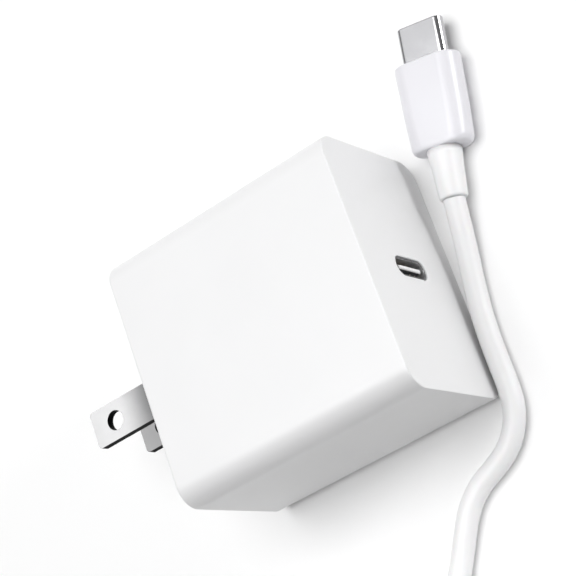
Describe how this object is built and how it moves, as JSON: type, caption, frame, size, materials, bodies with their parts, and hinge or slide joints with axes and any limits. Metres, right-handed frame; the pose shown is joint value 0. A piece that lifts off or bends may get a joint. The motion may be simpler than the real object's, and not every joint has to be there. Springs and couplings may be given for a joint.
{
  "type": "usb-c wall power adapter with cable",
  "caption": "White USB-C laptop power adapter: rounded block case, folding flat mains blades on one end, USB-C port on the other, and a coiled USB-C cable.",
  "frame": {"origin": "centre of the case's large back face, which the adapter lies on", "axes": "+X out of the charging port, mains blades along -X, +Z out of the large front face, +Y across the case"},
  "size_m": [0.0773, 0.1445, 0.029],
  "materials": {
    "white_case": "satin white moulded plastic",
    "nickel_plate": "bright nickel plate, lightly brushed",
    "spring_bronze": "phosphor bronze leaf",
    "spring_steel": "spring steel",
    "wire_black": "insulated wire",
    "wire_white": "insulated wire",
    "amber_film": "insulating film",
    "board_green": "solder mask",
    "aluminium_sheet": "rolled sheet",
    "black_resin": "moulded resin",
    "blue_coating": "dipped coating",
    "yellow_film": "polyester tape",
    "ferrite": "sintered ferrite",
    "copper_wire": "enamelled copper",
    "black_sleeve": "shrink sleeve",
    "aluminium_can": "drawn can",
    "port_steel": "dark nickel-plated steel shell",
    "tongue_plastic": "light grey moulding",
    "plug_steel": "polished steel shell",
    "white_grip": "satin white moulding",
    "white_cable": "matt white elastomer",
    "strap_rubber": "soft silicone strap"
  },
  "bodies": {
    "adapter": {"housing_shell": "white_case", "rear_cover": "white_case", "contact_spring_line": "spring_bronze", "contact_spring_neutral": "spring_bronze", "detent_spring": "spring_steel", "lead_line": "wire_black", "lead_neutral": "wire_white", "insulation_sheet": "amber_film", "main_board": "board_green", "port_board": "board_green", "heat_spreader": "aluminium_sheet", "fuse": "black_resin", "surge_varistor": "blue_coating", "filter_capacitor": "yellow_film", "choke_core": "ferrite", "choke_winding": "copper_wire", "bridge_rectifier": "black_resin", "bulk_capacitor_1": "black_sleeve", "bulk_capacitor_2": "black_sleeve", "transformer_core": "ferrite", "transformer_bobbin": "black_resin", "transformer_winding": "yellow_film", "switching_chip": "black_resin", "safety_capacitor": "blue_coating", "optocoupler": "black_resin", "output_transistor": "black_resin", "output_capacitor_1": "aluminium_can", "output_capacitor_2": "aluminium_can", "port_shell": "port_steel", "port_tongue": "tongue_plastic", "power_controller_chip": "black_resin", "plug_a_shell": "plug_steel", "plug_a_contacts": "black_resin", "plug_a_grip": "white_grip", "plug_a_strain_relief": "white_cable", "plug_b_shell": "plug_steel", "plug_b_contacts": "black_resin", "plug_b_grip": "white_grip", "plug_b_strain_relief": "white_cable", "cable_run": "white_cable", "cable_coil": "white_cable", "cable_tail": "white_cable", "cable_tie": "strap_rubber"},
    "prongs": {"prong_rotor": "white_case", "blade_line": "nickel_plate", "blade_neutral": "nickel_plate", "pivot_pin_line": "nickel_plate", "pivot_pin_neutral": "nickel_plate"}
  },
  "joints": [
    {"name": "prong_fold", "type": "hinge", "parent": "adapter", "child": "prongs", "pos_m": [-0.0196, 0.0015, 0.0145], "axis": [0, 0, 1], "range_deg": [0, 90]}
  ]
}
